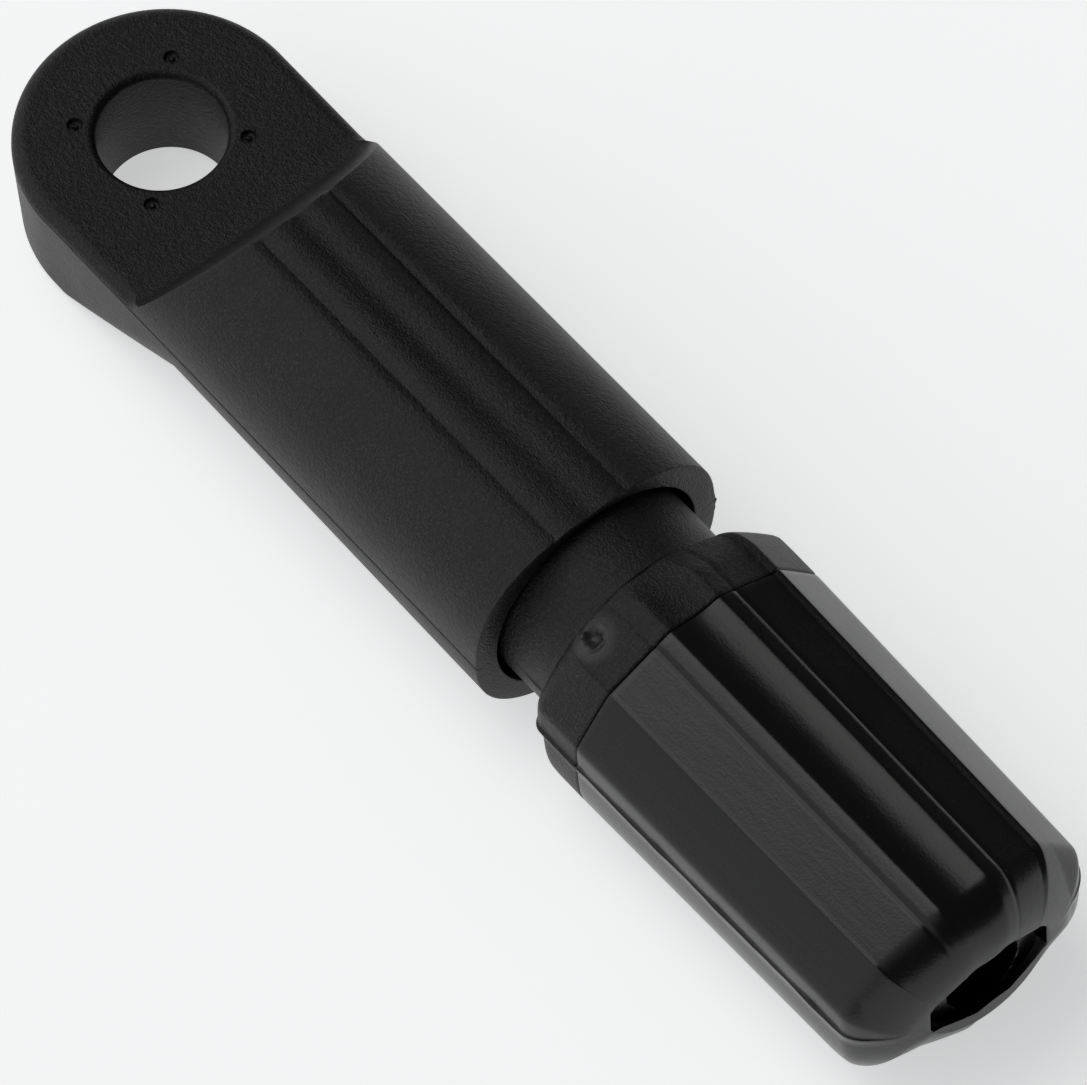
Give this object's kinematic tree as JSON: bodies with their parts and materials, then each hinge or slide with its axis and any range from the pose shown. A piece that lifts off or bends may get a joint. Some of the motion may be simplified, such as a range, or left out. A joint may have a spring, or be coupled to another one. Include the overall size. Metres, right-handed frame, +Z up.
{
  "type": "cord lock",
  "caption": "Moulded cord end lock: an eye tab on a hollow barrel, and a sliding clamp plug with a smooth grip that the cord enters.",
  "frame": {"origin": "on the eye's axis, where it crosses the moulding plane at the height of the barrel's axis", "axes": "+X along the barrel from the eye to the cord end, +Z up out of the tab's recessed face, along the eye's axis"},
  "size_m": [0.0538, 0.0116, 0.01],
  "materials": {
    "textured_black": "spark-eroded fine grain, semi-matt",
    "plug_black": "spark-eroded fine grain, semi-matt",
    "smooth_black": "smooth moulded, satin gloss",
    "jaw_grey": "as moulded"
  },
  "bodies": {
    "eye": {"eye_body": "textured_black"},
    "plug": {"plug": "plug_black", "grip": "smooth_black"},
    "upper_jaw": {"upper_jaw": "jaw_grey"},
    "lower_jaw": {"lower_jaw": "jaw_grey"}
  },
  "joints": [
    {"name": "plug_slide", "type": "slide", "parent": "eye", "child": "plug", "axis": [1, 0, 0], "range_m": [-0.0027, 0]},
    {"name": "upper_jaw_slide", "type": "slide", "parent": "plug", "child": "upper_jaw", "axis": [-0.9941, 0, 0.1084], "range_m": [0, 0.001]},
    {"name": "lower_jaw_slide", "type": "slide", "parent": "plug", "child": "lower_jaw", "axis": [-0.9941, 0, -0.1084], "range_m": [0, 0.001]}
  ],
  "couplings": [
    {"joint": "lower_jaw_slide", "follows": "upper_jaw_slide", "ratio": 1}
  ]
}
